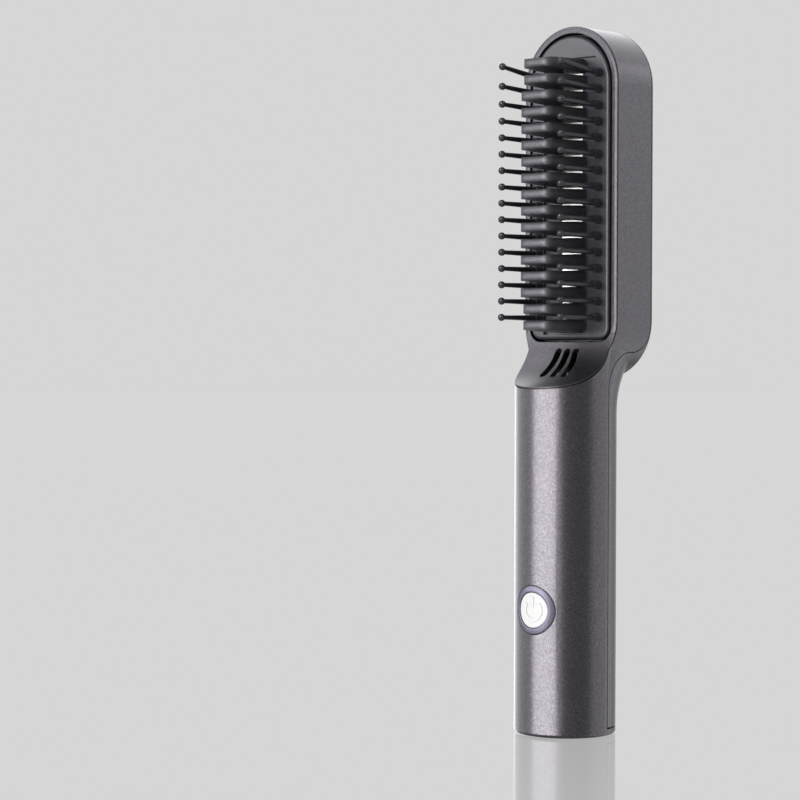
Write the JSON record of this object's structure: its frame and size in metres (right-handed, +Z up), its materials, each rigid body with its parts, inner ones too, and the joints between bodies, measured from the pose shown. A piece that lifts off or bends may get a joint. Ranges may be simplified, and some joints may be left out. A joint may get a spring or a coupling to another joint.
{
  "type": "cordless hair straightener",
  "caption": "Cordless hair straightening comb: round handle, flat oval head with heated comb teeth between two rows of ball-tipped guard pins, and a push button on the handle.",
  "frame": {"origin": "centre of the round foot of the handle, on the flat face that it stands on", "axes": "+Z up the handle to the top of the head, -Y towards the tips of the teeth, +X to the right for a viewer that the teeth point at"},
  "size_m": [0.04, 0.0426, 0.24],
  "materials": {
    "shell_paint": "satin gunmetal paint with fine metal flake on moulded plastic",
    "cover_paint": "satin gunmetal paint with fine metal flake on moulded plastic",
    "frame_paint": "satin gunmetal paint with fine metal flake on moulded plastic",
    "bed_plastic": "black heat-resistant plastic, finely textured",
    "plate_aluminium": "bare cast aluminium",
    "tooth_coating": "black grained coating on aluminium",
    "pin_nylon": "glossy black heat-resistant nylon",
    "heater_ceramic": "fired alumina",
    "mica": "pressed mica sheet",
    "spring_steel": "bent spring steel",
    "sensor_resin": "resin bead",
    "fuse_metal": "tinned metal can",
    "silicone_white": "white silicone insulation",
    "silicone_grey": "grey silicone insulation",
    "cell_wrap": "plain blue shrink wrap over a steel can",
    "cradle_plastic": "black moulded plastic",
    "nickel_strip": "nickel strip",
    "board_green": "green solder mask",
    "component_black": "black moulded packages",
    "connector_ivory": "ivory nylon housing",
    "switch_black": "black moulded housing",
    "led_lens": "clear resin lens",
    "socket_steel": "drawn steel shell",
    "ring_plating": "smooth purple-grey metallic plating",
    "button_white": "smooth white plastic with a raised power symbol, grey at its edges",
    "plunger_grey": "grey moulded plastic",
    "screw_black": "blackened steel",
    "screw_steel": "zinc-plated steel"
  },
  "bodies": {
    "housing": {"front_shell": "shell_paint", "rear_cover": "cover_paint", "front_frame": "frame_paint", "comb_base": "bed_plastic", "heater_plate": "plate_aluminium", "comb_teeth": "tooth_coating", "guard_pins_left": "pin_nylon", "guard_pins_right": "pin_nylon", "ceramic_heater": "heater_ceramic", "insulating_sheet": "mica", "heater_clamp": "spring_steel", "temperature_sensor": "sensor_resin", "thermal_fuse": "fuse_metal", "heater_leads": "silicone_white", "sensor_leads": "silicone_grey", "battery_cell": "cell_wrap", "battery_cradle": "cradle_plastic", "battery_tabs": "nickel_strip", "control_board": "board_green", "board_components": "component_black", "lead_connector": "connector_ivory", "tact_switch": "switch_black", "status_leds": "led_lens", "charging_socket": "socket_steel", "button_ring": "ring_plating", "shell_screws": "screw_black", "comb_screws": "screw_steel", "frame_screws": "screw_steel", "clamp_screws": "screw_steel", "board_screws": "screw_steel"},
    "button": {"power_button": "button_white", "switch_plunger": "plunger_grey"}
  },
  "joints": [
    {"name": "power_button_press", "type": "slide", "parent": "housing", "child": "button", "axis": [0, 1, 0], "range_m": [0, 0.0004], "stiffness_N_per_m": 4000}
  ]
}
